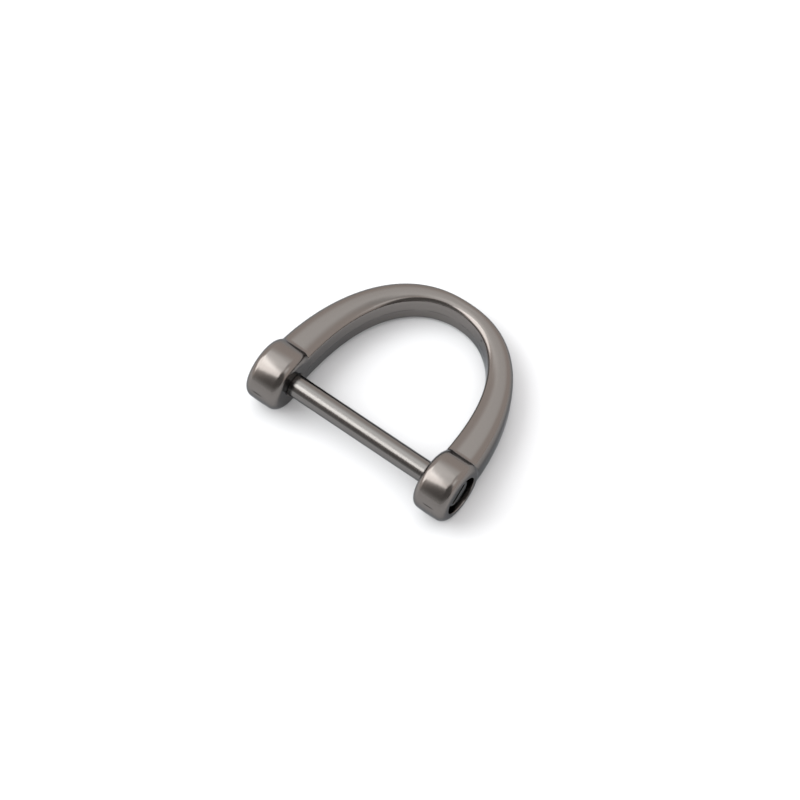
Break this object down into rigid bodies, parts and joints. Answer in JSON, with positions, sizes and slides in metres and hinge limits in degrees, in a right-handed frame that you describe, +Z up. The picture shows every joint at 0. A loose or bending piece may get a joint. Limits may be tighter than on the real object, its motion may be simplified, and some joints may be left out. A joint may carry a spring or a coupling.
{
  "type": "screw-in d ring",
  "caption": "D ring with a horseshoe bow, barrel-shaped eyes and a removable slotted screw bar, for a strap or a bag handle.",
  "frame": {"origin": "on the surface that the ring lies on, under the middle of its outline", "axes": "+X along the bar towards the screw's head, +Y from the bar towards the crown of the bow, +Z up from the surface"},
  "size_m": [0.0366, 0.032, 0.01],
  "materials": {
    "plated_casting": "satin black nickel over a zinc die casting",
    "turned_steel": "turned steel with a dark nickel plating"
  },
  "bodies": {
    "bow": {"bow": "plated_casting"},
    "pin": {"screw_pin": "turned_steel"}
  },
  "joints": [
    {"name": "pin_draw", "type": "slide", "parent": "bow", "child": "pin", "axis": [1, 0, 0], "range_m": [0, 0.056]}
  ]
}
